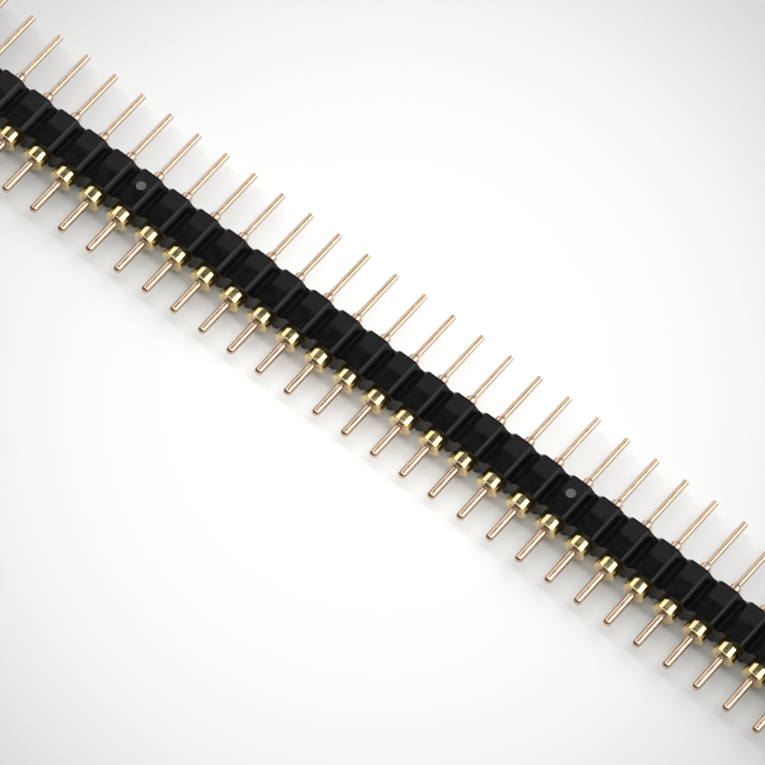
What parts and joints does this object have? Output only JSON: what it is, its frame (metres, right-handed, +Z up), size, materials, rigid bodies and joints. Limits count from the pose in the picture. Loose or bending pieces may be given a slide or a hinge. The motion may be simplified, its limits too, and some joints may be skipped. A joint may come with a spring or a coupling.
{
  "type": "pin header strip",
  "caption": "Single-row strip of turned round pins in a notched break-away insulator, collared tails on one side and thin plug pins on the other.",
  "frame": {"origin": "on the surface that the strip lies on, midway along the row and midway along the pins", "axes": "+X along the row, +Y along the pins from the collared tails to the thin plugs, +Z up, square to the insulator's flats"},
  "size_m": [0.1016, 0.012, 0.0026],
  "materials": {
    "black_plastic": "moulded, low sheen",
    "gold_plate": "turned and gold plated, bright"
  },
  "bodies": {
    "root": {"insulator": "black_plastic", "pin_01": "gold_plate", "pin_02": "gold_plate", "pin_03": "gold_plate", "pin_04": "gold_plate", "pin_05": "gold_plate", "pin_06": "gold_plate", "pin_07": "gold_plate", "pin_08": "gold_plate", "pin_09": "gold_plate", "pin_10": "gold_plate", "pin_11": "gold_plate", "pin_12": "gold_plate", "pin_13": "gold_plate", "pin_14": "gold_plate", "pin_15": "gold_plate", "pin_16": "gold_plate", "pin_17": "gold_plate", "pin_18": "gold_plate", "pin_19": "gold_plate", "pin_20": "gold_plate", "pin_21": "gold_plate", "pin_22": "gold_plate", "pin_23": "gold_plate", "pin_24": "gold_plate", "pin_25": "gold_plate", "pin_26": "gold_plate", "pin_27": "gold_plate", "pin_28": "gold_plate", "pin_29": "gold_plate", "pin_30": "gold_plate", "pin_31": "gold_plate", "pin_32": "gold_plate", "pin_33": "gold_plate", "pin_34": "gold_plate", "pin_35": "gold_plate", "pin_36": "gold_plate", "pin_37": "gold_plate", "pin_38": "gold_plate", "pin_39": "gold_plate", "pin_40": "gold_plate"}
  },
  "joints": []
}
